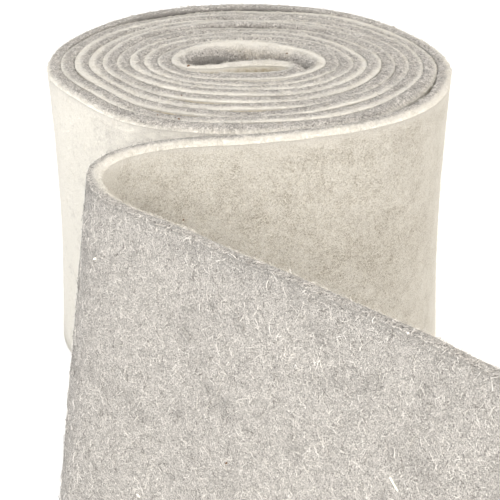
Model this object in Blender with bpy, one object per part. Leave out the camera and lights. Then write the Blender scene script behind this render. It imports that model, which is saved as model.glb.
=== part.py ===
"""Roll of two-ply wool felt: one long strip wound on edge, standing upright, its loose end turned back.

The strip has a cream ply and a grey ply needled together. Its inner end is tucked into a flat hook,
from which about ten turns run clockwise outwards. The last turn leaves the roll at the front, runs to
the left, turns back on itself and stands away from the roll, with its grey ply outwards.
Units are metres, +Z is up, and the strip stands on z = 0.
"""
import math
import bmesh
import bpy
from mathutils import Vector

# Driving sizes
STRIP_WIDTH = 0.150
FELT_THICKNESS = 0.0061
ROLL_RADIUS = 0.0968

# Winding, with all places given in roll radii from the roll's axis
TURN_CENTRE = (0.0, 0.04)
WOUND_TURNS = 9.5
STATIONS_PER_TURN = 48
START_DIRECTION = 180.0

# Inner end: centre line of the hook, from the cut end to the first turn
HOOK_COLUMNS = ("across", "back")
HOOK = (
    (-0.160, -0.085),
    (-0.060, -0.099),
    (0.050, -0.102),
    (0.150, -0.095),
    (0.218, -0.058),
    (0.232, 0.005),
    (0.185, 0.058),
    (0.090, 0.080),
    (-0.020, 0.066),
    (-0.120, 0.024),
    (-0.215, -0.018),
    (-0.305, -0.016),
)
HOOK_STEPS = 4

# Turns: centre line radius in each direction, and how much it grows with every turn
TURN_COLUMNS = ("direction", "start_radius", "growth")
TURNS = (
    (0, 0.317, 0.0705),
    (30, 0.290, 0.0715),
    (60, 0.246, 0.0772),
    (90, 0.242, 0.0762),
    (120, 0.287, 0.0752),
    (150, 0.343, 0.0722),
    (180, 0.365, 0.0705),
    (210, 0.275, 0.0735),
    (240, 0.182, 0.0855),
    (270, 0.165, 0.0835),
    (300, 0.185, 0.0828),
    (330, 0.250, 0.0760),
)

# Turns that stand proud of their neighbours at the top: place along the winding, reach and height
PROUD_COLUMNS = ("turn", "reach", "lift")
PROUD_TURNS = (
    (0.20, 0.22, 0.0012),
    (2.30, 0.20, 0.0006),
    (3.80, 0.16, 0.0010),
    (4.80, 0.14, 0.0011),
    (5.24, 0.22, 0.0017),
    (7.10, 0.25, 0.0007),
    (9.24, 0.26, 0.0024),
)

# Loose end: centre line of the top edge and of the bottom edge, from the last turn to the cut end
LOOSE_COLUMNS = ("top_across", "top_back", "foot_across", "foot_back")
LOOSE_END = (
    (0.974, -0.110, 0.974, -0.110),
    (0.930, -0.320, 0.930, -0.320),
    (0.840, -0.520, 0.840, -0.520),
    (0.695, -0.695, 0.697, -0.698),
    (0.505, -0.828, 0.508, -0.838),
    (0.300, -0.905, 0.300, -0.930),
    (0.100, -0.955, 0.090, -1.000),
    (-0.100, -1.000, -0.125, -1.072),
    (-0.300, -1.030, -0.350, -1.165),
    (-0.490, -1.072, -0.570, -1.275),
    (-0.615, -1.145, -0.735, -1.415),
    (-0.667, -1.255, -0.820, -1.590),
    (-0.650, -1.385, -0.820, -1.755),
    (-0.590, -1.512, -0.760, -1.890),
    (-0.440, -1.690, -0.620, -2.045),
    (-0.218, -1.905, -0.400, -2.245),
    (0.060, -2.200, -0.110, -2.510),
    (0.335, -2.474, 0.185, -2.760),
    (0.603, -2.761, 0.475, -3.010),
    (0.850, -3.050, 0.745, -3.270),
    (1.060, -3.310, 0.975, -3.500),
)
LOOSE_STEPS = 3
WAIST_FADE = 6

# Upright rows of each section, and how far the roll draws in at half its height
ROWS = (0.0, 0.3, 0.7, 1.0)
WAIST = 0.027

# Colours of the two plies, with roughness
CREAM_PLY = ((0.86, 0.82, 0.72, 1.0), 0.95)
GREY_PLY = ((0.56, 0.54, 0.51, 1.0), 0.95)


def clear_scene():
    """Start from an empty scene."""
    for item in list(bpy.context.scene.objects):
        bpy.data.objects.remove(item, do_unlink=True)


def ply_material(name, colour, roughness):
    """One felt ply as a plain matt material."""
    material = bpy.data.materials.new(name)
    material.use_nodes = True
    shader = material.node_tree.nodes["Principled BSDF"]
    shader.inputs["Base Color"].default_value = colour
    shader.inputs["Roughness"].default_value = roughness
    shader.inputs["Metallic"].default_value = 0.0
    return material


def smooth_value(before, start, end, after, share):
    """Smooth value between start and end, led by the values on both sides."""
    slope_in = (end - before) / 2
    slope_out = (after - start) / 2
    rise = end - start
    bend = 3 * rise - 2 * slope_in - slope_out
    twist = slope_in + slope_out - 2 * rise
    return start + share * (slope_in + share * (bend + share * twist))


def smooth_row(rows, share):
    """The same for each column of four rows of a table."""
    return tuple(smooth_value(*values, share) for values in zip(*rows))


def turn_row(direction):
    """Start radius and growth in any direction, from the rows of the table on both sides."""
    step = 360.0 / len(TURNS)
    place = (direction % 360.0) / step
    first = int(place)
    around = [TURNS[(first + shift) % len(TURNS)][1:] for shift in (-1, 0, 1, 2)]
    return smooth_row(around, place - first)


def turn_point(turn):
    """Centre line of the winding, so many turns from its start."""
    direction = START_DIRECTION - 360.0 * turn
    start_radius, growth = turn_row(direction)
    radius = start_radius + growth * turn
    angle = math.radians(direction)
    return (TURN_CENTRE[0] + radius * math.cos(angle), TURN_CENTRE[1] + radius * math.sin(angle))


def smooth_path(points, steps):
    """Points on a smooth line from the second of the given points to the last but one."""
    path = []
    for first in range(1, len(points) - 2):
        for step in range(steps):
            path.append(smooth_row(points[first - 1:first + 3], step / steps))
    path.append(points[-2])
    return path


def proud_lift(turn):
    """Height by which the top edge stands proud at this place of the winding."""
    lift = 0.0
    for place, reach, height in PROUD_TURNS:
        share = abs(turn - place) / reach
        if share < 1.0:
            lift += height * 0.5 * (1.0 + math.cos(math.pi * share))
    return lift


def hook_stations():
    """Stations of the inner end: top and foot places, waist share and lift."""
    start, second = HOOK[0], HOOK[1]
    lead = (2 * start[0] - second[0], 2 * start[1] - second[1])
    turn_step = 1.0 / STATIONS_PER_TURN
    points = [lead, *HOOK, turn_point(0.0), turn_point(2 * turn_step)]
    path = smooth_path(points, HOOK_STEPS)[:-1]
    return [(place, place, 1.0, 0.0) for place in path]


def turn_stations():
    """Stations of the wound turns."""
    stations = []
    for step in range(round(WOUND_TURNS * STATIONS_PER_TURN) + 1):
        turn = step / STATIONS_PER_TURN
        place = turn_point(turn)
        stations.append((place, place, 1.0, proud_lift(turn)))
    return stations


def loose_stations():
    """Stations of the loose end, whose waist fades out as it leaves the roll."""
    turn_step = 1.0 / STATIONS_PER_TURN
    lead = turn_point(WOUND_TURNS - 2 * turn_step) * 2
    leave = turn_point(WOUND_TURNS) * 2
    last, before = LOOSE_END[-1], LOOSE_END[-2]
    beyond = tuple(2 * end - near for end, near in zip(last, before))
    path = smooth_path([lead, leave, *LOOSE_END, beyond], LOOSE_STEPS)[1:]
    fade_length = WAIST_FADE * LOOSE_STEPS
    stations = []
    for step, row in enumerate(path):
        waist_share = max(0.0, 1.0 - step / fade_length)
        stations.append((row[:2], row[2:], waist_share, 0.0))
    return stations


def row_points(station):
    """Centre points of one section, from the foot to the top edge."""
    top, foot, waist_share, lift = station
    top_point = Vector(top) * ROLL_RADIUS
    foot_point = Vector(foot) * ROLL_RADIUS
    centre = Vector(TURN_CENTRE) * ROLL_RADIUS
    lean = (top_point - foot_point).length
    height = math.sqrt(STRIP_WIDTH ** 2 - lean ** 2) + lift
    points = []
    for row in ROWS:
        place = foot_point.lerp(top_point, row)
        draw_in = 1.0 - WAIST * waist_share * math.sin(math.pi * row)
        place = centre + (place - centre) * draw_in
        points.append(Vector((place.x, place.y, height * row)))
    return points


def section_rings(stations):
    """Closed ring of points for each section: up the cream face and down the grey face."""
    lines = [row_points(station) for station in stations]
    rings = []
    for index, line in enumerate(lines):
        before = lines[max(index - 1, 0)]
        after = lines[min(index + 1, len(lines) - 1)]
        cream_side = []
        grey_side = []
        for row, point in enumerate(line):
            along = after[row] - before[row]
            outward = Vector((-along.y, along.x, 0.0)).normalized() * (FELT_THICKNESS / 2)
            cream_side.append(point + outward)
            grey_side.append(point - outward)
        rings.append(cream_side + grey_side[::-1])
    return rings


def extrude_rings(rings):
    """One closed body, made by extruding the cut end's face from section to section."""
    body = bmesh.new()
    corners = [body.verts.new(point) for point in rings[0]]
    cut_end = body.faces.new(corners)
    face = cut_end
    for ring in rings[1:]:
        made = bmesh.ops.extrude_face_region(body, geom=[face])["geom"]
        if face is not cut_end:
            bmesh.ops.delete(body, geom=[face], context="FACES_ONLY")
        face = next(item for item in made if isinstance(item, bmesh.types.BMFace))
        for corner, point in zip(face.verts, ring):
            corner.co = point
    bmesh.ops.recalc_face_normals(body, faces=body.faces)
    return body


def colour_plies(body, rings):
    """Give the faces of the cream side the first material and all others the second."""
    body.verts.ensure_lookup_table()
    rows = len(ROWS)
    ring_size = len(rings[0])
    cream_corners = set()
    for index in range(len(rings)):
        for row in range(rows):
            cream_corners.add(body.verts[index * ring_size + row])
    for face in body.faces:
        face.material_index = 0 if all(corner in cream_corners for corner in face.verts) else 1


def centre_on_floor(mesh):
    """Move the mesh so that the middle of its box in plan is the origin."""
    across = [vertex.co.x for vertex in mesh.vertices]
    back = [vertex.co.y for vertex in mesh.vertices]
    middle = Vector(((min(across) + max(across)) / 2, (min(back) + max(back)) / 2, 0.0))
    for vertex in mesh.vertices:
        vertex.co -= middle
    return middle


def felt_strip():
    """The whole strip as one solid."""
    stations = hook_stations() + turn_stations() + loose_stations()
    rings = section_rings(stations)
    body = extrude_rings(rings)
    colour_plies(body, rings)
    mesh = bpy.data.meshes.new("felt_strip")
    body.to_mesh(mesh)
    body.free()
    middle = centre_on_floor(mesh)
    mesh.materials.append(ply_material("cream_ply", *CREAM_PLY))
    mesh.materials.append(ply_material("grey_ply", *GREY_PLY))
    mesh.shade_smooth()
    mesh.set_sharp_from_angle(angle=math.radians(40))
    strip = bpy.data.objects.new("felt_strip", mesh)
    bpy.context.scene.collection.objects.link(strip)
    centre_line = [sum(row_points(station), Vector()) / len(ROWS) for station in stations]
    length = sum((end - start).length for start, end in zip(centre_line, centre_line[1:]))
    print(f"felt_strip length {length:.3f} m, roll axis at {-middle.x:.4f}, {-middle.y:.4f}")
    return strip


clear_scene()
felt_strip()
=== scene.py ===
import math
import bmesh
import bpy
from mathutils import Matrix, Vector, noise


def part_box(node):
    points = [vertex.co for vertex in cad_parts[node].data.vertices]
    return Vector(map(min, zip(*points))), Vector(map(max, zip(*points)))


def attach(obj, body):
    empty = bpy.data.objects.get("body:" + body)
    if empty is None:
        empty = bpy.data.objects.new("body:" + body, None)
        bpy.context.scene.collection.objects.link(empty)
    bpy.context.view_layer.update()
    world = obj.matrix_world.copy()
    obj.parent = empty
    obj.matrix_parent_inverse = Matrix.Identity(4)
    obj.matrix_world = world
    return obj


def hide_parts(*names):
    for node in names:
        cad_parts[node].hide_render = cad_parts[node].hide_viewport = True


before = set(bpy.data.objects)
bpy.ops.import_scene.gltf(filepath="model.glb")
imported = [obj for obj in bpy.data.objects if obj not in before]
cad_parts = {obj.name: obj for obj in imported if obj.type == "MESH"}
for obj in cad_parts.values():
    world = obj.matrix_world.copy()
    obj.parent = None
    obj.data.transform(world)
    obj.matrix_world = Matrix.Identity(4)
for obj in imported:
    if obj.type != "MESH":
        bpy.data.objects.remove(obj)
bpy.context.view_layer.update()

# The felt strip: one band of thick wool felt, a cream ply and a grey ply needled together.
# It is wound on edge around a flat hook, nine and a half turns clockwise, and its loose end runs
# along the front of the roll, turns back on itself and leans away. All sizes are in metres.
STRIP_WIDTH = 0.150
FELT_THICKNESS = 0.0064
LOFTY_THICKNESS = 0.0079
TURN_CLEARANCE = 0.00010
ROLL_RADIUS = 0.0968
TURN_CENTRE = (0.0, 0.04)
WOUND_TURNS = 9.5
TURN_STEPS = 96
START_DIRECTION = 180.0
# Turns over which one stretch of the strip runs smoothly into the next
JOINING_TURNS = 2 / 48
# The turns draw in halfway up by this share, and the loose end over so many rows of its table
WAIST = 0.027
WAIST_FADE = 6

# Inner end, centre line in roll radii: across, back
HOOK = (
    (-0.160, -0.085),
    (-0.060, -0.099),
    (0.050, -0.102),
    (0.150, -0.095),
    (0.218, -0.058),
    (0.232, 0.005),
    (0.185, 0.058),
    (0.090, 0.080),
    (-0.020, 0.066),
    (-0.120, 0.024),
    (-0.215, -0.018),
    (-0.305, -0.016),
)
HOOK_STEPS = 8
HOOK_STEP_TURNS = 0.005

# Turns in roll radii: direction, start radius, growth with every turn
TURNS = (
    (0, 0.317, 0.0705),
    (30, 0.290, 0.0715),
    (60, 0.246, 0.0772),
    (90, 0.242, 0.0762),
    (120, 0.287, 0.0752),
    (150, 0.343, 0.0722),
    (180, 0.365, 0.0705),
    (210, 0.275, 0.0735),
    (240, 0.182, 0.0855),
    (270, 0.165, 0.0835),
    (300, 0.185, 0.0828),
    (330, 0.250, 0.0760),
)

# Turns that stand proud at the top: place along the winding, reach in turns, height
PROUD_TURNS = (
    (0.20, 0.22, 0.0012),
    (2.30, 0.20, 0.0006),
    (3.80, 0.16, 0.0010),
    (4.80, 0.14, 0.0011),
    (5.24, 0.22, 0.0017),
    (7.10, 0.25, 0.0007),
    (9.24, 0.26, 0.0024),
)

# Loose end, centre line in roll radii: top edge across and back, bottom edge across and back
LOOSE_END = (
    (0.974, -0.110, 0.974, -0.110),
    (0.930, -0.320, 0.930, -0.320),
    (0.840, -0.520, 0.840, -0.520),
    (0.695, -0.695, 0.697, -0.698),
    (0.505, -0.828, 0.508, -0.838),
    (0.300, -0.905, 0.300, -0.930),
    (0.100, -0.955, 0.090, -1.000),
    (-0.100, -1.000, -0.125, -1.072),
    (-0.300, -1.030, -0.350, -1.165),
    (-0.490, -1.072, -0.570, -1.275),
    (-0.615, -1.145, -0.735, -1.415),
    (-0.667, -1.255, -0.820, -1.590),
    (-0.650, -1.385, -0.820, -1.755),
    (-0.590, -1.512, -0.760, -1.890),
    (-0.440, -1.690, -0.620, -2.045),
    (-0.218, -1.905, -0.400, -2.245),
    (0.060, -2.200, -0.110, -2.510),
    (0.335, -2.474, 0.185, -2.760),
    (0.603, -2.761, 0.475, -3.010),
    (0.850, -3.050, 0.745, -3.270),
    (1.060, -3.310, 0.975, -3.500),
)
LOOSE_STEPS = 8

# Section: rows up each face, points over each cut edge, and how far its corners are worn round
FACE_ROWS = 18
EDGE_POINTS = 8
CORNER_DROP = 0.00018
# Gaps between the turns at the top: depth, length, share at the front, and the painted shade in them from a
# turn on
GAP_DROP = 0.0100
GAP_SIZE = 0.070
FRONT_GAPS = 0.10
GAP_SHADE = 4.0
SHADE_TURN = 0.7
SHADE_FADE = 5
# Places where two turns stand open at the top: the turn, its reach in turns, and how deep the gap is
OPEN_GAPS = (
    (1.20, 0.22, 0.0018),
    (1.69, 0.08, 0.0028),
    (2.30, 0.12, 0.0022),
    (3.22, 0.14, 0.0020),
    (4.28, 0.16, 0.0022),
    (5.30, 0.14, 0.0020),
    (6.26, 0.16, 0.0028),
    (7.24, 0.14, 0.0024),
    (8.25, 0.12, 0.0018),
)
# Inner loop, whose cream ply stands up above the grey one: middle, reach in turns, height. The
# ledge runs out at both ends, starts at a depth in the cloth, rises from there and is ragged
LEDGE = (0.22, 0.42, 0.0008)
LEDGE_FADE = 3.0
LEDGE_DEPTH = 0.35
LEDGE_RISE = 5.0
RAGGED_SIZE = 0.006
RAGGEDNESS = 0.5
# The outermost turn: its outer corner is worn round, and its cut edge is creamier towards the end
RIM_TURN = 8.40
RIM_FADE = 5
RIM_WEAR = 0.0020
RIM_CREAM_SHARE = 0.06
RIM_CREAM_GAIN = 0.36
RIM_CREAM_TURN = 9.2
RIM_CREAM_REACH = 0.3
# The front of the outermost turn, up to here, is rubbed rough by the loose end in front of it
FRONT_TURN = 8.94
FRONT_FADE = 6
ROUGH_FRONT = 0.13
# The loose end, in rows of its table: it is pressed and smooth where it leaves, and smooth again
# around the middle of its narrow turn; elsewhere it is rough
LEAVING_ROWS = 3
SMOOTH_ROW = 1.0
NARROW_ROW = 11.5
NARROW_REACH = 0.3
NARROW_TOUSLE = 0.45
TURNED_ROW = 12
# Inner end of the hook, which sits lower than the rest and is tousled: middle, reach in rows, depth
HOOK_LOW = ((1.0, 4.0, 0.0018),)
HOOK_TOUSLE = 0.7
# Places where a face swells into the hollow and its edge slumps: middle, reach, swelling
TURN_GREY_SWELLS = ((0.30, 0.36, 0.0032),)
HOOK_GREY_SWELLS = ((5.2, 3.0, 0.0012), (9.0, 3.0, 0.0015))
HOOK_CREAM_SWELLS = ((7.0, 5.0, 0.0007),)
SLUMP = 1.8
SLUMP_POWER = 1.6
# Share of the thickness that is cream: in the turns, in the ledge, where the end leaves, and past
# its narrow turn, with what is added at the back and where the hook turns back
CREAM_SHARE = 0.34
LEDGE_CREAM_SHARE = 0.54
LEAVING_CREAM_SHARE = 0.62
TURNED_CREAM_SHARE = 0.30
BACK_CREAM_GAIN = 0.133
HOOK_CREAM_GAINS = ((7.4, 3.4, 0.46),)
BAND_UNEVENNESS = 0.34
BAND_SIZE = 0.10
# Unevenness of the felt: size and height of the lumps, pressed in the roll and free from a turn
# on, and of the waves and nicks along the cut edge
LUMP_SIZE = 0.016
LUMP_HEIGHT = 0.00018
PRESSED_LUMP_HEIGHT = 0.00010
FREE_TURN = 8.4
FREE_FADE = 4
CUT_WAVE_SIZE = 0.045
CUT_WAVE_HEIGHT = 0.0011
CUT_NICK_SIZE = 0.004
CUT_NICK_HEIGHT = 0.00022
# Where in the noise each unevenness is taken from
NICK_SEED = 1.3
WAVE_SEED = 3.1
RAGGED_SEED = 5.0
GAP_SEED = 6.2
FACE_SEED = 7.7
BAND_SEED = 9.4
# What the cloth knows at each of its points, apart from its place in the flat strip
# The fourth mark weighs the painted shade that darkens the wool in the gaps and in the pocket
MARKS = ("ply_depth", "cream_share", "tousled", "sheltered", "sunk")
SEAM_MERGE = 0.000001


def mixed(start, end, share):
    """Value a share of the way from start to end."""
    return start + (end - start) * share


def come_in(place, start, rate):
    """0 up to a start, then growing at a rate, and 1 from there on."""
    return min(1.0, max(0.0, (place - start) * rate))


def smooth_value(before, start, end, after, share):
    """Smooth value between start and end, led by the values on both sides."""
    slope_in = (end - before) / 2
    slope_out = (after - start) / 2
    rise = end - start
    bend = 3 * rise - 2 * slope_in - slope_out
    twist = slope_in + slope_out - 2 * rise
    return start + share * (slope_in + share * (bend + share * twist))


def smooth_row(rows, share):
    """The same for each column of four rows of a table."""
    return tuple(smooth_value(*values, share) for values in zip(*rows))


def smooth_path(points, steps):
    """Points on a smooth line from the second of the given points to the last but one."""
    path = []
    for first in range(1, len(points) - 2):
        for step in range(steps):
            path.append(smooth_row(points[first - 1:first + 3], step / steps))
    path.append(points[-2])
    return path


def turn_row(direction):
    """Start radius and growth in any direction."""
    place = (direction % 360.0) / (360.0 / len(TURNS))
    first = int(place)
    around = [TURNS[(first + shift) % len(TURNS)][1:] for shift in (-1, 0, 1, 2)]
    return smooth_row(around, place - first)


def turn_point(turn):
    """Centre line of the winding, so many turns from its start."""
    direction = START_DIRECTION - 360.0 * turn
    start_radius, growth = turn_row(direction)
    radius = start_radius + growth * turn
    angle = math.radians(direction)
    return (TURN_CENTRE[0] + radius * math.cos(angle), TURN_CENTRE[1] + radius * math.sin(angle))


def turn_thickness(turn):
    """Felt is loftier where the turns press on each other less."""
    growth = turn_row(START_DIRECTION - 360.0 * turn)[1]
    return min(growth * ROLL_RADIUS - TURN_CLEARANCE, LOFTY_THICKNESS)


def rise_along(rows, place):
    """Height of the soft bumps of a table at a place; its rows hold middle, reach and height."""
    rise = 0.0
    for middle, reach, height in rows:
        share = abs(place - middle) / reach
        if share < 1.0:
            rise += height * 0.5 * (1.0 + math.cos(math.pi * share))
    return rise


def ledge_share(turn):
    """How much of the ledge there is: all along its length, and running out at both ends."""
    middle, reach, _ = LEDGE
    return come_in(1.0, abs(turn - middle) / reach, LEDGE_FADE)


def loose_tousle(row):
    """How tousled the loose end is: smooth where it leaves and in its narrow turn, rough elsewhere."""
    beside_turn = min(1.0, max(NARROW_TOUSLE, abs(row - NARROW_ROW) - NARROW_REACH))
    return come_in(row, SMOOTH_ROW, 1 / LEAVING_ROWS) * beside_turn


def loose_cream_share(row):
    """Share of cream on the cut edge of the loose end, so many rows of its table along."""
    if row < TURNED_ROW:
        return mixed(CREAM_SHARE, LEAVING_CREAM_SHARE, come_in(row, 0.0, 1 / LEAVING_ROWS))
    return mixed(LEAVING_CREAM_SHARE, TURNED_CREAM_SHARE, come_in(row, TURNED_ROW, 1 / LEAVING_ROWS))


def section(top, foot, **changes):
    """One place along the strip: where its top and foot stand, and what differs from pressed felt."""
    plain = dict.fromkeys(("lift", "ledge", "grey_swell", "cream_swell", "gap", "open_gap", "rim",
                           "tousled", "sheltered"), 0.0)
    pressed = {"top": top, "foot": foot, "waist": 1.0, "thickness": FELT_THICKNESS,
               "lumps": PRESSED_LUMP_HEIGHT, "cream": CREAM_SHARE}
    return plain | pressed | changes


def hook_sections():
    """The innermost stretch, an S-shaped hook, up to the start of the first turn."""
    lead = tuple(2 * start - second for start, second in zip(HOOK[0], HOOK[1]))
    path = smooth_path([lead, *HOOK, turn_point(0.0), turn_point(JOINING_TURNS)], HOOK_STEPS)[:-1]
    sections = []
    for step, place in enumerate(path):
        row = step / HOOK_STEPS
        share = ledge_share((step - len(path)) * HOOK_STEP_TURNS)
        cream = mixed(CREAM_SHARE, LEDGE_CREAM_SHARE, share) + rise_along(HOOK_CREAM_GAINS, row)
        # The hook takes painted shade where its wool lies below the top, as in the pocket
        sections.append(section(place, place, cream=cream, lift=-rise_along(HOOK_LOW, row),
                                grey_swell=rise_along(HOOK_GREY_SWELLS, row),
                                cream_swell=rise_along(HOOK_CREAM_SWELLS, row),
                                ledge=LEDGE[2] * share, tousled=HOOK_TOUSLE * (1.0 - share),
                                sheltered=1.0))
    return sections


def turn_sections():
    """The turns, from the first to where the loose end leaves."""
    sections = []
    for step in range(round(WOUND_TURNS * TURN_STEPS) + 1):
        turn = step / TURN_STEPS
        place = turn_point(turn)
        free = come_in(turn, FREE_TURN, FREE_FADE)
        rim = come_in(turn, RIM_TURN, RIM_FADE)
        share = ledge_share(turn)
        backness = mixed(FRONT_GAPS, 1.0, max(0.0, math.sin(2 * math.pi * turn)) ** 2)
        cream = mixed(CREAM_SHARE, LEDGE_CREAM_SHARE, share) + BACK_CREAM_GAIN * (backness - FRONT_GAPS)
        rim_cream = RIM_CREAM_SHARE + RIM_CREAM_GAIN * max(0.0, turn - RIM_CREAM_TURN) / RIM_CREAM_REACH
        cream += (rim_cream - CREAM_SHARE) * rim
        # Painted shade in the gaps below the top, stronger from a turn on
        sections.append(section(place, place, cream=cream, rim=rim, gap=backness,
                                lift=rise_along(PROUD_TURNS, turn), thickness=turn_thickness(turn),
                                lumps=mixed(PRESSED_LUMP_HEIGHT, LUMP_HEIGHT, free),
                                grey_swell=rise_along(TURN_GREY_SWELLS, turn),
                                ledge=LEDGE[2] * share, open_gap=rise_along(OPEN_GAPS, turn),
                                tousled=ROUGH_FRONT * come_in(FRONT_TURN, turn, FRONT_FADE) * free,
                                sheltered=1.0 + GAP_SHADE * come_in(turn, SHADE_TURN, SHADE_FADE)))
    return sections


def loose_sections():
    """The loose end, from the last turn to its cut end."""
    before = turn_point(WOUND_TURNS - JOINING_TURNS) * 2
    leave = turn_point(WOUND_TURNS) * 2
    beyond = tuple(2 * end - near for end, near in zip(LOOSE_END[-1], LOOSE_END[-2]))
    sections = []
    for step, place in enumerate(smooth_path([before, leave, *LOOSE_END, beyond], LOOSE_STEPS)[1:]):
        row = step / LOOSE_STEPS
        pressed = max(0.0, 1.0 - step / (LEAVING_ROWS * LOOSE_STEPS))
        sections.append(section(place[:2], place[2:], lumps=LUMP_HEIGHT, rim=1.0,
                                waist=max(0.0, 1.0 - step / (WAIST_FADE * LOOSE_STEPS)),
                                thickness=mixed(FELT_THICKNESS, turn_thickness(WOUND_TURNS), pressed),
                                tousled=loose_tousle(row), cream=loose_cream_share(row)))
    return sections


def section_shape():
    """Closed outline of the cut strip: height share, and depth share from grey to cream."""
    outline = []
    for row in range(FACE_ROWS):
        outline.append((row / (FACE_ROWS - 1), 1.0))
    for point in range(1, EDGE_POINTS):
        outline.append((1.0, 1.0 - point / EDGE_POINTS))
    for row in range(FACE_ROWS):
        outline.append((1.0 - row / (FACE_ROWS - 1), 0.0))
    for point in range(1, EDGE_POINTS):
        outline.append((0.0, point / EDGE_POINTS))
    return outline


def lump(along, height, seed, size):
    """Soft unevenness between -1 and 1 at a place on the strip."""
    return noise.noise(Vector((along / size, height / size, seed)))


def place_section(station, before, after, along, outline):
    """Points of one section with its unevenness, one for each point of the outline."""
    top_point = Vector(station["top"]) * ROLL_RADIUS
    foot_point = Vector(station["foot"]) * ROLL_RADIUS
    top_heading = Vector(after["top"]) - Vector(before["top"])
    foot_heading = Vector(after["foot"]) - Vector(before["foot"])
    centre = Vector(TURN_CENTRE) * ROLL_RADIUS
    lean = (top_point - foot_point).length
    full_height = math.sqrt(STRIP_WIDTH ** 2 - lean ** 2) + station["lift"]
    full_height += CUT_WAVE_HEIGHT * lump(along, 0.0, WAVE_SEED, CUT_WAVE_SIZE)
    gap_drop = GAP_DROP * station["gap"] * max(0.0, lump(along, 0.0, GAP_SEED, GAP_SIZE))
    gap_drop += station["open_gap"]
    ragged = 1.0 + RAGGEDNESS * lump(along, 0.0, RAGGED_SEED, RAGGED_SIZE)
    points = []
    for row, depth in outline:
        across = foot_point.lerp(top_point, row)
        heading = foot_heading.lerp(top_heading, row)
        outward = Vector((-heading.y, heading.x)).normalized()
        place = centre + (across - centre) * (1.0 - WAIST * station["waist"] * math.sin(math.pi * row))
        grey_side = max(0.0, 1.0 - 2 * depth)
        cream_side = max(0.0, 2 * depth - 1.0)
        face_lump = station["lumps"] * lump(along, row * STRIP_WIDTH, FACE_SEED * depth, LUMP_SIZE)
        offset = (depth - 0.5) * station["thickness"] + (2 * depth - 1.0) * face_lump
        offset += cream_side * station["cream_swell"] - grey_side * station["grey_swell"]
        place = place + outward * offset
        height = full_height * row
        if row == 1.0:
            slumped = station["grey_swell"] * grey_side ** SLUMP_POWER + station["cream_swell"] * cream_side
            height -= CORNER_DROP * (2 * depth - 1.0) ** 4 + gap_drop * grey_side ** 3
            height -= RIM_WEAR * station["rim"] * cream_side ** 2
            height -= SLUMP * slumped
            height += CUT_NICK_HEIGHT * lump(along, depth * station["thickness"], NICK_SEED, CUT_NICK_SIZE)
            height += station["ledge"] * come_in(depth, LEDGE_DEPTH, LEDGE_RISE) * ragged
        points.append(Vector((place.x, place.y, height)))
    return points


def strip_mesh(name, stations):
    """The strip as one closed mesh: a grid wrapped into a tube, one line of it for each section."""
    outline = section_shape()
    outline.append(outline[0])
    body = bmesh.new()
    bmesh.ops.create_grid(body, x_segments=len(stations) - 1, y_segments=len(outline) - 1, size=1.0)
    cloth_place = body.verts.layers.float_vector.new("cloth_place")
    layers = [body.verts.layers.float.new(mark) for mark in MARKS]
    lines = [[None] * len(outline) for _ in stations]
    for corner in body.verts:
        station_number = round((corner.co.x + 1.0) / 2.0 * (len(stations) - 1))
        outline_number = round((corner.co.y + 1.0) / 2.0 * (len(outline) - 1))
        lines[station_number][outline_number] = corner
    along = 0.0
    along_at = []
    for index, station in enumerate(stations):
        before = stations[max(index - 1, 0)]
        after = stations[min(index + 1, len(stations) - 1)]
        middle = [(Vector(place["top"]) + Vector(place["foot"])) / 2 for place in (before, station)]
        along += (middle[1] - middle[0]).length * ROLL_RADIUS
        along_at.append(along)
        points = place_section(station, before, after, along, outline)
        top_height = points[FACE_ROWS + EDGE_POINTS // 2].z
        cream = station["cream"] + BAND_UNEVENNESS * lump(along, 0.0, BAND_SEED, BAND_SIZE)
        for corner, point, (row, depth) in zip(lines[index], points, outline):
            corner.co = point
            swelling = max(0.0, 1.0 - 2 * depth) * station["grey_swell"] if row == 1.0 else 0.0
            fibre_depth = depth * station["thickness"] - swelling * (1.0 + SLUMP)
            corner[cloth_place] = (along, row * STRIP_WIDTH, fibre_depth)
            # Painted shade is kept off the cream face of the outermost turns and the loose end
            sheltered = station["sheltered"] * (1.0 - station["rim"] * depth)
            marks = (depth, cream, station["tousled"], sheltered, top_height - point.z)
            for layer, mark in zip(layers, marks):
                corner[layer] = mark
    bmesh.ops.remove_doubles(body, verts=body.verts, dist=SEAM_MERGE)
    bmesh.ops.holes_fill(body, edges=[edge for edge in body.edges if edge.is_boundary], sides=0)
    bmesh.ops.recalc_face_normals(body, faces=body.faces)
    mesh = bpy.data.meshes.new(name)
    body.to_mesh(mesh)
    body.free()
    mesh.shade_smooth()
    return mesh, along_at


class Wire:
    """One socket of a node, which takes part in plain arithmetic."""

    def __init__(self, graph, socket):
        self.graph = graph
        self.socket = socket

    def joined(self, operation, first, second):
        return self.graph.add("ShaderNodeMath", {"operation": operation}, {0: first, 1: second})

    def __add__(self, other):
        return self.joined("ADD", self, other)

    __radd__ = __add__

    def __sub__(self, other):
        return self.joined("SUBTRACT", self, other)

    def __rsub__(self, other):
        return self.joined("SUBTRACT", other, self)

    def __mul__(self, other):
        return self.joined("MULTIPLY", self, other)

    __rmul__ = __mul__


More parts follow.
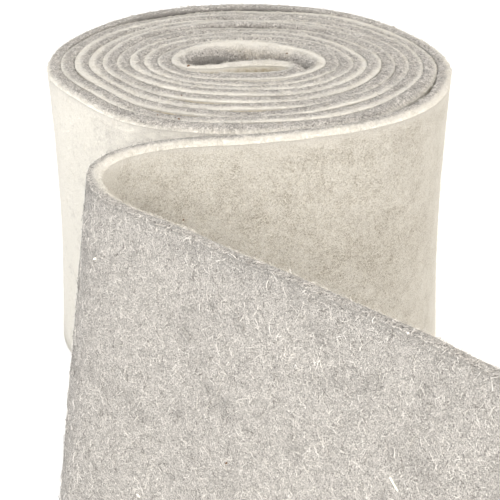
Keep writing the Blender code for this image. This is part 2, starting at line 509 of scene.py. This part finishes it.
class Graph:
    """A tree of nodes that is filled one node at a time."""

    def __init__(self, tree):
        self.tree = tree

    def add(self, kind, settings, sockets, output=0):
        """Add a node: its settings first, then the value or the wire of each socket."""
        node = self.tree.nodes.new(kind)
        for name, value in settings.items():
            if name == "stops":
                ramp = node.color_ramp
                while len(ramp.elements) < len(value):
                    ramp.elements.new(1.0)
                for element, (position, colour) in zip(ramp.elements, value):
                    element.position = position
                    element.color = colour
            else:
                setattr(node, name, value)
        for name, value in sockets.items():
            if isinstance(value, Wire):
                self.tree.links.new(value.socket, node.inputs[name])
            else:
                node.inputs[name].default_value = value
        return Wire(self, node.outputs[output]) if len(node.outputs) else node

    def mix(self, first, second, share):
        """Colour between two colours."""
        return self.add("ShaderNodeMix", {"data_type": "RGBA"}, {0: share, 6: first, 7: second}, 2)

    def scaled(self, vector, factors):
        """Vector with each of its numbers multiplied."""
        return self.add("ShaderNodeVectorMath", {"operation": "MULTIPLY"}, {0: vector, 1: factors})

    def turned(self, vector, degrees):
        """Vector turned in the plane of the cloth."""
        return self.add("ShaderNodeVectorRotate", {"rotation_type": "Z_AXIS"},
                        {"Vector": vector, "Angle": math.radians(degrees)})

    def mark(self, name):
        """Value that the mesh carries at each of its points."""
        return self.add("ShaderNodeAttribute", {"attribute_name": name}, {}, 2)

    def speckle(self, vector, scale, detail, distortion=0.0):
        """Cloudy value around 0.5."""
        return self.add("ShaderNodeTexNoise", {}, {"Vector": vector, "Scale": scale, "Detail": detail,
                                                   "Roughness": 0.6, "Distortion": distortion})

    def between(self, value, low, high):
        """Value spread so that low becomes 0 and high becomes 1, with nothing beyond."""
        return self.add("ShaderNodeMapRange", {"clamp": True},
                        {"Value": value, 1: low, 2: high, 3: 0.0, 4: 1.0})

    def flecks(self, vector, scale, detail, distortion, low, high):
        """Cloudy value, spread so that it is 0 or 1 nearly everywhere."""
        return self.between(self.speckle(vector, scale, detail, distortion), low, high)

    def larger(self, first, second):
        """The larger of two values."""
        return self.add("ShaderNodeMath", {"operation": "MAXIMUM"}, {0: first, 1: second})

    def curls(self, vector, rows):
        """Thin curly lines, like single hairs: 1 on a line and 0 away from it."""
        lines = 0.0
        for scale, width, shift in rows:
            moved = self.add("ShaderNodeVectorMath", {"operation": "ADD"},
                             {0: vector, 1: (shift, shift, shift)})
            away = self.add("ShaderNodeMath", {"operation": "ABSOLUTE"},
                            {0: self.speckle(moved, scale, 1.0, CURL_DISTORTION) - 0.5})
            lines = self.larger(lines, self.between(away, width, 0.0))
        return lines


def new_material(name, roughness):
    """A matt cloth material with a soft sheen, and its graph and shader."""
    material = bpy.data.materials.new(name)
    material.use_nodes = True
    shader = material.node_tree.nodes["Principled BSDF"]
    shader.inputs["Roughness"].default_value = roughness
    shader.inputs["Specular IOR Level"].default_value = 0.15
    shader.inputs["Sheen Weight"].default_value = 0.25
    shader.inputs["Sheen Roughness"].default_value = 0.6
    return material, Graph(material.node_tree), shader


# Straight fibres: directions in degrees, fineness along, across and through the cloth, and flecks
FIBRE_DIRECTIONS = (12.0, 71.0, 128.0)
FIBRE_STRETCH = (550.0, 2900.0, 1400.0)
FIBRES = (1.0, 2.0, 0.6, 0.54, 0.64)
# Curly fibres: fineness, half width of a line, and where in the noise
PALE_CURLS = ((900.0, 0.052, 0.0), (1200.0, 0.058, 0.31), (1500.0, 0.064, 0.62))
DARK_CURLS = ((1050.0, 0.052, 0.57), (1400.0, 0.058, 0.83))
CURL_DISTORTION = 0.8
# Flecks of wool: fineness, detail, distortion, and the values that become none and all
BROKEN = (260.0, 1.0, 0.0, 0.42, 0.56)
GRAIN = (2000.0, 0.0, 0.8, 0.46, 0.54)
PEPPER = (1750.0, 0.0, 1.5, 0.525, 0.55)
FLOCK = (420.0, 3.0, 0.5, 0.40, 0.62)
BLOTCH = (75.0, 2.0, 0.0, 0.40, 0.66)
SMUDGE = (60.0, 1.0, 0.0, 0.56, 0.72)
CLOUD = (18.0, 1.0, 0.0, 0.35, 0.65)
COVER = (14.0, 1.0, 0.0, 0.48, 0.64)
# Frayed line between the plies: fineness, detail and weight of its fine and its coarse waves
FRAY = ((420.0, 3.0, 0.35), (75.0, 2.0, 0.30))
FRAY_MIDDLE = 0.325
PLY_BLUR = (0.82, 1.18)
# Depths below the top where the wool on the cut ends, is smoothed, and loses the painted shade of the top
# cut edge, and where the painted shade in the pocket and in a gap begins and is darkest
CUT_DEPTHS = (0.0008, 0.0002)
RIM_DEPTH = 0.001
SMOOTH_RIM = 0.010
CUT_FADE = 0.0055
POCKET_RIM = 0.0006
POCKET_DEPTH = 0.0036
SLOPE_RIM = 0.0004
SLOPE_DEPTH = 0.0095
BUMP_HEIGHT = 0.0006
# The wool's colours, and the painted shade of the cream on the top cut edge and in the pocket
CREAM_LIGHT = (0.98, 0.945, 0.87, 1.0)
CREAM_MIDDLE = (0.92, 0.87, 0.75, 1.0)
CREAM_CALM = (0.91, 0.88, 0.80, 1.0)
# Painted shade: a duller cream that tones down the top cut edge, which takes the most light
CREAM_CUT_SHADE = (0.71, 0.68, 0.625, 1.0)
# Painted shade of the cream deep in the pocket and in the gaps
CREAM_SHADE = (0.46, 0.38, 0.24, 1.0)
CREAM_DULL = (0.25, 0.19, 0.10, 1.0)
GREY_PALE = (0.92, 0.875, 0.825, 1.0)
GREY_MIDDLE = (0.12, 0.105, 0.088, 1.0)
GREY_DARK = (0.07, 0.06, 0.05, 1.0)


def gap_shade(graph, sheltered, sunk):
    """Painted shade: how dark the grey wool is painted at the bottom of a gap or on a slope into the
    hollow.
    """
    return graph.between(sunk, SLOPE_RIM, SLOPE_DEPTH) * sheltered * 0.90


def felt_material():
    """Both plies in one material: the depth in the cloth says which wool shows."""
    material, graph, shader = new_material("needled_felt", 0.95)
    band_place = graph.add("ShaderNodeAttribute", {"attribute_name": "cloth_place"}, {}, 1)
    depth, share, tousled, sheltered, sunk = [graph.mark(name) for name in MARKS]
    tousled = tousled * (0.3 + 0.7 * graph.between(sunk, RIM_DEPTH, SMOOTH_RIM))
    height_up = graph.add("ShaderNodeSeparateXYZ", {}, {"Vector": band_place}, 1)
    on_cut = graph.between(height_up, *[STRIP_WIDTH - below for below in CUT_DEPTHS])
    place = graph.add("ShaderNodeVectorMath", {"operation": "SCALE"},
                      {0: band_place, "Scale": 1.0 - 0.45 * on_cut})
    straight = 0.0
    for degrees in FIBRE_DIRECTIONS:
        turned = graph.scaled(graph.turned(place, degrees), FIBRE_STRETCH)
        straight = graph.larger(straight, graph.flecks(turned, *FIBRES))
    pale_curls = graph.curls(place, PALE_CURLS)
    dark_curls = graph.curls(place, DARK_CURLS)
    broken, grain, pepper, flock, blotch, smudge, cloud = [
        graph.flecks(place, *row) for row in (BROKEN, GRAIN, PEPPER, FLOCK, BLOTCH, SMUDGE, CLOUD)]
    grey = graph.mix(GREY_MIDDLE, GREY_PALE, grain)
    grey = graph.mix(grey, GREY_DARK, pepper * 0.95)
    grey = graph.mix(grey, GREY_DARK, dark_curls * (0.65 + 0.20 * smudge))
    pale_strands = graph.larger(straight * 0.5, pale_curls * (0.66 + 0.24 * broken))
    grey = graph.mix(grey, GREY_PALE, pale_strands)
    grey = graph.mix(grey, GREY_MIDDLE, flock * 0.08)
    grey = graph.mix(grey, GREY_DARK, smudge * 0.20 + cloud * 0.05)
    # Painted shade: the grey on the top cut edge a little darker, as the top takes more light
    grey = graph.mix(grey, GREY_DARK, on_cut * 0.04)
    # Painted shade on the grey wool in the gaps and on the slope into the hollow
    grey = graph.mix(grey, GREY_DARK, gap_shade(graph, sheltered, sunk))
    cream = graph.mix(CREAM_MIDDLE, CREAM_LIGHT, grain)
    cream = graph.mix(cream, CREAM_CALM, 0.85 - 0.85 * tousled)
    cream = graph.mix(cream, CREAM_DULL, pepper * (0.04 + (0.60 + 0.32 * blotch) * tousled))
    cream = graph.mix(cream, CREAM_DULL, dark_curls * (0.02 + (0.30 + 0.50 * blotch) * tousled))
    light_strands = graph.larger(straight * 0.6, pale_curls * (0.3 + 0.5 * broken))
    cream = graph.mix(cream, CREAM_LIGHT, light_strands * (0.4 + 0.6 * tousled))
    cream = graph.mix(cream, CREAM_DULL, (blotch * 0.06 + cloud * 0.04) * (0.3 + 0.7 * tousled))
    # Painted shade: the cream on and just below the top cut edge toned down, as the top takes more light
    cream = graph.mix(cream, CREAM_CUT_SHADE, graph.between(sunk, CUT_FADE, 0.0) * (0.55 + 0.25 * grain))
    # Painted shade on the cream below the top, in the pocket and in the gaps
    pocket_shade = graph.between(sunk, POCKET_RIM, POCKET_DEPTH) * sheltered
    cream = graph.mix(cream, CREAM_SHADE, pocket_shade * (0.50 + 0.45 * flock))
    fray = -FRAY_MIDDLE
    for scale, detail, weight in FRAY:
        fray = graph.speckle(band_place, scale, detail) * weight + fray
    is_cream = graph.between(depth + share + fray, *PLY_BLUR)
    covered = graph.flecks(band_place, *COVER) * 0.40
    is_cream = is_cream * (1.0 - covered * on_cut)
    colour = graph.mix(grey, cream, is_cream)
    calm = is_cream * (1.0 - tousled) * 0.55
    height = grain * 0.4 + graph.larger(straight, pale_curls)
    height = height - pepper * 0.6 - dark_curls * 0.5 - flock * 0.6
    bump = graph.add("ShaderNodeBump", {}, {"Strength": 0.9, "Distance": BUMP_HEIGHT,
                                            "Height": height * (1.0 - calm)})
    graph.tree.links.new(colour.socket, shader.inputs["Base Color"])
    graph.tree.links.new(bump.socket, shader.inputs["Normal"])
    return material


sections = [*hook_sections(), *turn_sections(), *loose_sections()]
felt_mesh, along_at = strip_mesh("felt_roll", sections)
low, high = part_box("felt_strip")
across = [vertex.co.x for vertex in felt_mesh.vertices]
back = [vertex.co.y for vertex in felt_mesh.vertices]
roll_axis = Vector(((low[0] + high[0] - min(across) - max(across)) / 2,
                    (low[1] + high[1] - min(back) - max(back)) / 2, 0.0))
felt_mesh.transform(Matrix.Translation(roll_axis))
felt_mesh.materials.append(felt_material())
felt_roll = bpy.data.objects.new("felt_roll", felt_mesh)
bpy.context.scene.collection.objects.link(felt_roll)
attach(felt_roll, "root")
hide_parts("felt_strip")

# The wool's own fibres: fine hairs that lie over the faces of the felt and stand off its cut edges,
# where the needles and the knife pulled them loose. Each is a thin bent thread of one mesh.
HAIR_SIDES = 3
HAIR_BEND = 0.0016
HAIR_BEND_SCALE = 260.0
# A hair is grey where its depth and the share of cream add up to the first of these, cream at the second
HAIR_PLY_BLUR = (0.93, 1.07)
# How near the cut edge and the faces the cloth has to be for hairs to grow on it
EDGE_REACH = 0.0001
FACE_REACH = 0.01
TURN_START = len(HOOK) * HOOK_STEPS


def hair_tones(name, stops, cream_stops):
    """Wool hairs, each with its own tone, from one row of colours where they root in the cream ply."""
    material, graph, shader = new_material(name, 0.9)
    depth, share, _, sheltered, sunk = [graph.mark(mark) for mark in MARKS]
    tone = graph.mark("tone")
    from_grey = graph.add("ShaderNodeValToRGB", {"stops": stops}, {"Fac": tone})
    from_cream = graph.add("ShaderNodeValToRGB", {"stops": cream_stops}, {"Fac": tone})
    colour = graph.mix(from_grey, from_cream, graph.between(depth + share, *HAIR_PLY_BLUR))
    # Painted shade on the hairs in the gaps and on the slope into the hollow
    colour = graph.mix(colour, GREY_DARK, gap_shade(graph, sheltered, sunk))
    graph.tree.links.new(colour.socket, shader.inputs["Base Color"])
    return material


def hair_nodes(density, shortest, longest, radius, tilt, seed, points):
    """Geometry nodes that scatter bent hairs over the faces of a mesh."""
    tree = bpy.data.node_groups.new("wool_hairs", "GeometryNodeTree")
    tree.interface.new_socket("Cloth", in_out="INPUT", socket_type="NodeSocketGeometry")
    tree.interface.new_socket("Hairs", in_out="OUTPUT", socket_type="NodeSocketGeometry")
    graph = Graph(tree)
    cloth = graph.add("NodeGroupInput", {}, {})
    scatter = graph.add("GeometryNodeDistributePointsOnFaces", {},
                        {"Mesh": cloth, "Density": density, "Seed": seed})
    upright = Wire(graph, scatter.socket.node.outputs["Rotation"])
    line = graph.add("GeometryNodeCurvePrimitiveLine", {},
                     {"Start": (-0.5, 0.0, 0.0), "End": (0.5, 0.0, 0.0)})
    line = graph.add("GeometryNodeResampleCurve", {}, {"Curve": line, "Count": points})
    swing = graph.add("FunctionNodeRandomValue", {"data_type": "FLOAT_VECTOR"},
                      {0: (0.0, -tilt, 0.0), 1: (0.0, tilt, 2 * math.pi), 8: seed + 1})
    turn = graph.add("FunctionNodeEulerToRotation", {}, {0: swing})
    rotation = graph.add("FunctionNodeRotateRotation", {"rotation_space": "LOCAL"},
                         {0: upright, 1: turn})
    length = graph.add("FunctionNodeRandomValue", {"data_type": "FLOAT"},
                       {2: shortest, 3: longest, 8: seed + 2}, 1)
    placed = graph.add("GeometryNodeInstanceOnPoints", {},
                       {"Points": scatter, "Instance": line, "Rotation": rotation, "Scale": length})
    tone = graph.add("FunctionNodeRandomValue", {"data_type": "FLOAT"},
                     {2: 0.0, 3: 1.0, 8: seed + 3}, 1)
    placed = graph.add("GeometryNodeStoreNamedAttribute", {"data_type": "FLOAT", "domain": "INSTANCE"},
                       {"Geometry": placed, "Name": "tone", "Value": tone})
    real = graph.add("GeometryNodeRealizeInstances", {}, {"Geometry": placed})
    where = graph.add("GeometryNodeInputPosition", {}, {})
    drift = graph.add("ShaderNodeTexNoise", {},
                      {"Vector": where, "Scale": HAIR_BEND_SCALE, "Detail": 1.0}, 1)
    drift = graph.add("ShaderNodeVectorMath", {"operation": "SUBTRACT"}, {0: drift, 1: (0.5, 0.5, 0.5)})
    drift = graph.add("ShaderNodeVectorMath", {"operation": "SCALE"}, {0: drift, "Scale": 2 * HAIR_BEND})
    bent = graph.add("GeometryNodeSetPosition", {}, {"Geometry": real, "Offset": drift})
    height = graph.add("ShaderNodeSeparateXYZ", {}, {"Vector": where}, 2)
    under = graph.add("ShaderNodeCombineXYZ", {}, {"Z": graph.larger(2 * radius - height, 0.0)})
    bent = graph.add("GeometryNodeSetPosition", {}, {"Geometry": bent, "Offset": under})
    ring = graph.add("GeometryNodeCurvePrimitiveCircle", {}, {"Resolution": HAIR_SIDES, "Radius": radius})
    solid = graph.add("GeometryNodeCurveToMesh", {},
                      {"Curve": bent, "Profile Curve": ring, "Fill Caps": True})
    graph.add("NodeGroupOutput", {}, {0: solid})
    return tree


def wool_hairs(name, keeps, amount, shortest, longest, radius, tilt, seed, points, material, slot):
    """Hairs over those faces of the felt that keeps() names, as one finished mesh."""
    cloth = bmesh.new()
    cloth.from_mesh(felt_mesh)
    cloth_place = cloth.verts.layers.float_vector["cloth_place"]
    ply_depth = cloth.verts.layers.float["ply_depth"]
    unwanted = []
    area = 0.0
    for face in cloth.faces:
        places = [corner[cloth_place] for corner in face.verts]
        depths = [corner[ply_depth] for corner in face.verts]
        if keeps(places, depths):
            area += face.calc_area()
        else:
            unwanted.append(face)
    bmesh.ops.delete(cloth, geom=unwanted, context="FACES")
    patch = bpy.data.meshes.new(name)
    cloth.to_mesh(patch)
    cloth.free()
    piece = bpy.data.objects.new(name, patch)
    bpy.context.scene.collection.objects.link(piece)
    growth = piece.modifiers.new("hairs", "NODES")
    growth.node_group = hair_nodes(amount / area, shortest, longest, radius, tilt, seed, points)
    grown = piece.evaluated_get(bpy.context.evaluated_depsgraph_get())
    finished = bpy.data.meshes.new_from_object(grown)
    piece.modifiers.clear()
    piece.data = finished
    finished.name = name
    finished.materials.clear()
    finished.materials.append(material)
    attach(piece, "root")


def on_cut_edge(places, depths):
    """Top cut edge, all along the strip."""
    return all(place[1] > STRIP_WIDTH - EDGE_REACH for place in places)


def on_cream_face(places, depths):
    """Cream face of the outermost turns and of the loose end."""
    first = along_at[TURN_START + round(FREE_TURN * TURN_STEPS)]
    return min(depths) > 1.0 - FACE_REACH and places[0][0] > first


def on_grey_face(places, depths):
    """Grey face of the loose end."""
    first = along_at[TURN_START + round(WOUND_TURNS * TURN_STEPS)]
    return max(depths) < FACE_REACH and places[0][0] > first


# Tones of the hairs, from the darkest to the palest: place in the row, and colour
GREY_HAIRS = (
    (0.0, (0.05, 0.04, 0.035, 1.0)),
    (0.37, (0.18, 0.16, 0.14, 1.0)),
    (0.42, (0.88, 0.84, 0.79, 1.0)),
    (1.0, (1.0, 0.97, 0.93, 1.0)),
)
EDGE_HAIRS = (
    (0.0, (0.26, 0.24, 0.215, 1.0)),
    (0.35, (0.46, 0.43, 0.40, 1.0)),
    (0.70, (0.64, 0.60, 0.56, 1.0)),
    (1.0, (0.95, 0.92, 0.87, 1.0)),
)
CREAM_EDGE_HAIRS = (
    (0.0, (0.52, 0.48, 0.41, 1.0)),
    (0.3, (0.72, 0.69, 0.62, 1.0)),
    (1.0, (0.88, 0.85, 0.79, 1.0)),
)
CREAM_HAIRS = (
    (0.0, (0.70, 0.65, 0.55, 1.0)),
    (0.2, (0.80, 0.77, 0.69, 1.0)),
    (1.0, (0.93, 0.91, 0.86, 1.0)),
)
PALE_HAIRS = (
    (0.0, (0.76, 0.73, 0.66, 1.0)),
    (1.0, (0.90, 0.88, 0.83, 1.0)),
)
grey_wool = hair_tones("grey_wool", GREY_HAIRS, GREY_HAIRS)
edge_wool = hair_tones("edge_wool", EDGE_HAIRS, CREAM_EDGE_HAIRS)
cream_wool = hair_tones("cream_wool", CREAM_HAIRS, CREAM_HAIRS)
pale_wool = hair_tones("pale_wool", PALE_HAIRS, PALE_HAIRS)
# Each kind of hair: name, where it grows, how many, shortest, longest, radius, tilt, seed,
# points along it, wool and slot
HAIR_KINDS = (
    ("edge_hairs", on_cut_edge, 13000, 0.0015, 0.0045, 0.00007, 0.50, 11, 3, edge_wool, "grey_ply"),
    ("edge_down", on_cut_edge, 13000, 0.0010, 0.0030, 0.00005, 0.80, 41, 3, edge_wool, "grey_ply"),
    ("cream_hairs", on_cream_face, 12000, 0.002, 0.006, 0.000045, 0.12, 21, 3, cream_wool, "cream_ply"),
    ("grey_hairs", on_grey_face, 13500, 0.0014, 0.0042, 0.00007, 0.15, 31, 3, grey_wool, "grey_ply"),
    ("long_fibres", on_grey_face, 260, 0.006, 0.018, 0.000062, 0.03, 51, 12, pale_wool, "cream_ply"),
)
for kind in HAIR_KINDS:
    wool_hairs(*kind)

# Bits of dry plant that came with the wool and stayed in the felt, and small knots of white wool.
# Each is a crumb about a millimetre across, half sunk in the surface; one is a splinter of straw.
# A row says how far along the strip, how high up it and how deep in it, and the crumb's radius.
PLANT_BITS = (
    (0.101, 1.0, 0.7, 0.0010),
    (2.813, 1.0, 0.5, 0.0007),
    (2.802, 1.0, 0.7, 0.0009),
    (0.180, 1.0, 0.3, 0.0007),
    (3.692, 1.0, 0.8, 0.0007),
    (3.939, 0.767, 1.0, 0.0006),
    (3.879, 0.517, 1.0, 0.0008),
    (4.106, 0.483, 0.0, 0.0007),
    (1.45, 1.0, 0.6, 0.0007),
    (3.30, 1.0, 0.2, 0.0006),
)
PLANT_FLATNESS = 0.55
WOOL_KNOTS = ((4.022, 0.833, 0.0, 0.0015), (4.061, 0.267, 0.0, 0.0013))
KNOT_FLATNESS = 0.4
CRUMB_TURNS = (40.0, 25.0)
CRUMB_UNEVENNESS = 0.6
CRUMB_SPREAD = 1000.0
STRAW_ENDS = ((4.180, 0.653, 0.0), (4.184, 0.63, 0.0))
STRAW_RADIUS = 0.00045
STRAW_TIP_RADIUS = 0.6 * STRAW_RADIUS
STRAW_SIDES = 8


def plain_material(name, roughness, colour):
    """The same matt surface in one colour."""
    material, _, shader = new_material(name, roughness)
    shader.inputs["Base Color"].default_value = colour
    return material


def cloth_spot(along, height_share, depth):
    """The point that lies so far along the strip, so high up it, and so deep in it from grey to cream."""
    index = min(range(len(along_at)), key=lambda number: abs(along_at[number] - along))
    index = min(max(index, 1), len(sections) - 2)
    spot = place_section(sections[index], sections[index - 1], sections[index + 1], along_at[index],
                         [(height_share, depth)])[0]
    heading = Vector(sections[index + 1]["top"]) - Vector(sections[index - 1]["top"])
    ahead = Vector((heading.x, heading.y, 0.0)).normalized() * (along - along_at[index])
    return spot + ahead + roll_axis


def crumbs(name, rows, flatness, material):
    """Small uneven crumbs on the cloth, as one mesh."""
    heap = bmesh.new()
    for along, height_share, depth, radius in rows:
        made = bmesh.ops.create_icosphere(heap, subdivisions=2, radius=radius)["verts"]
        turn = Matrix.Rotation(CRUMB_TURNS[0] * along, 3, "Z")
        turn = turn @ Matrix.Rotation(CRUMB_TURNS[1] * along, 3, "X")
        spot = cloth_spot(along, height_share, depth)
        for corner in made:
            uneven = 1.0 + CRUMB_UNEVENNESS * noise.noise(corner.co / radius + spot * CRUMB_SPREAD)
            corner.co.x *= uneven
            corner.co.y *= flatness * uneven
            corner.co.z *= flatness
            corner.co = turn @ corner.co + spot
    mesh = bpy.data.meshes.new(name)
    heap.to_mesh(mesh)
    heap.free()
    mesh.shade_smooth()
    mesh.materials.append(material)
    piece = bpy.data.objects.new(name, mesh)
    bpy.context.scene.collection.objects.link(piece)
    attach(piece, "root")


bark = plain_material("dry_plant", 0.8, (0.14, 0.07, 0.025, 1.0))
crumbs("plant_bits", PLANT_BITS, PLANT_FLATNESS, bark)
crumbs("wool_knots", WOOL_KNOTS, KNOT_FLATNESS, pale_wool)
straw_from, straw_to = [cloth_spot(*place) for place in STRAW_ENDS]
straw_run = straw_to - straw_from
splinter = bmesh.new()
bmesh.ops.create_cone(splinter, cap_ends=True, segments=STRAW_SIDES, radius1=STRAW_RADIUS,
                      radius2=STRAW_TIP_RADIUS, depth=straw_run.length)
tilted = straw_run.to_track_quat("Z", "Y").to_matrix().to_4x4()
halfway = Matrix.Translation((straw_from + straw_to) / 2)
bmesh.ops.transform(splinter, verts=splinter.verts, matrix=halfway @ tilted)
straw_mesh = bpy.data.meshes.new("straw_splinter")
splinter.to_mesh(straw_mesh)
splinter.free()
straw_mesh.materials.append(plain_material("straw", 0.6, (0.93, 0.88, 0.70, 1.0)))
straw_piece = bpy.data.objects.new("straw_splinter", straw_mesh)
bpy.context.scene.collection.objects.link(straw_piece)
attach(straw_piece, "root")

# The floor: a wide pale sheet of paper that the roll stands on, swept up behind it.
FLOOR_REACH = 3.0
FLOOR_DROP = 0.0002
SWEEP_HEIGHT = 2.0
PAPER_GLOW = 0.12
sweep = bmesh.new()
bmesh.ops.create_grid(sweep, x_segments=1, y_segments=1, size=FLOOR_REACH)
back_edge = max(sweep.edges, key=lambda edge: (edge.verts[0].co + edge.verts[1].co).y)
raised = bmesh.ops.extrude_edge_only(sweep, edges=[back_edge])["geom"]
for corner in raised:
    if isinstance(corner, bmesh.types.BMVert):
        corner.co.z += SWEEP_HEIGHT
floor_mesh = bpy.data.meshes.new("paper_sweep")
sweep.to_mesh(floor_mesh)
sweep.free()
floor_mesh.transform(Matrix.Translation((0.0, 0.0, -FLOOR_DROP)))
paper = plain_material("white_paper", 0.9, (0.93, 0.93, 0.93, 1.0))
paper_shader = paper.node_tree.nodes["Principled BSDF"]
paper_shader.inputs["Sheen Weight"].default_value = 0.0
paper_shader.inputs["Emission Color"].default_value = (1.0, 1.0, 1.0, 1.0)
paper_shader.inputs["Emission Strength"].default_value = PAPER_GLOW
floor_mesh.materials.append(paper)
floor = bpy.data.objects.new("paper_sweep", floor_mesh)
bpy.context.scene.collection.objects.link(floor)

# The light: a soft lamp on the left, one of like power in front on the right, a weak warm one
# further round on the right, and a pale room.
ROOM_LIGHT = 0.89
# Each lamp: name, place, size, power and colour
LAMPS = (
    ("key_lamp", (-1.15, -1.25, 0.85), 0.9, 22.3, (1.0, 0.98, 0.95)),
    ("front_lamp", (0.52, -1.40, 0.88), 0.9, 26.0, (1.0, 0.955, 0.87)),
    ("right_lamp", (1.3, -0.9, 0.7), 0.8, 2.0, (1.0, 0.60, 0.24)),
)
world = bpy.data.worlds.new("pale_room")
bpy.context.scene.world = world
world.use_nodes = True
world.node_tree.nodes["Background"].inputs["Color"].default_value = (1.0, 1.0, 1.0, 1.0)
world.node_tree.nodes["Background"].inputs["Strength"].default_value = ROOM_LIGHT


def soft_lamp(name, place, size, power, colour):
    """A square soft lamp that faces the middle of the roll."""
    lamp = bpy.data.lights.new(name, "AREA")
    lamp.size = size
    lamp.energy = power
    lamp.color = colour
    holder = bpy.data.objects.new(name, lamp)
    holder.location = place
    towards = Vector((roll_axis.x, roll_axis.y, STRIP_WIDTH / 2)) - Vector(place)
    holder.rotation_euler = towards.to_track_quat("-Z", "Y").to_euler()
    bpy.context.scene.collection.objects.link(holder)


for lamp_row in LAMPS:
    soft_lamp(*lamp_row)

# The camera: a long lens a little above the roll, looking down on its end.
CAMERA_BACK = 7.09 * ROLL_RADIUS
CAMERA_UP = 2.40 * ROLL_RADIUS
CAMERA_DOWN = 25.9
LENS = 105.5
SENSOR_WIDTH = 36.0
NEAREST = 0.01
camera_data = bpy.data.cameras.new("camera")
camera_data.lens = LENS
camera_data.sensor_width = SENSOR_WIDTH
camera_data.clip_start = NEAREST
camera = bpy.data.objects.new("camera", camera_data)
camera.location = (roll_axis.x, roll_axis.y - CAMERA_BACK, STRIP_WIDTH + CAMERA_UP)
camera.rotation_euler = (math.radians(90.0 - CAMERA_DOWN), 0.0, 0.0)
bpy.context.scene.collection.objects.link(camera)
bpy.context.scene.camera = camera
bpy.context.scene.view_settings.view_transform = "Standard"
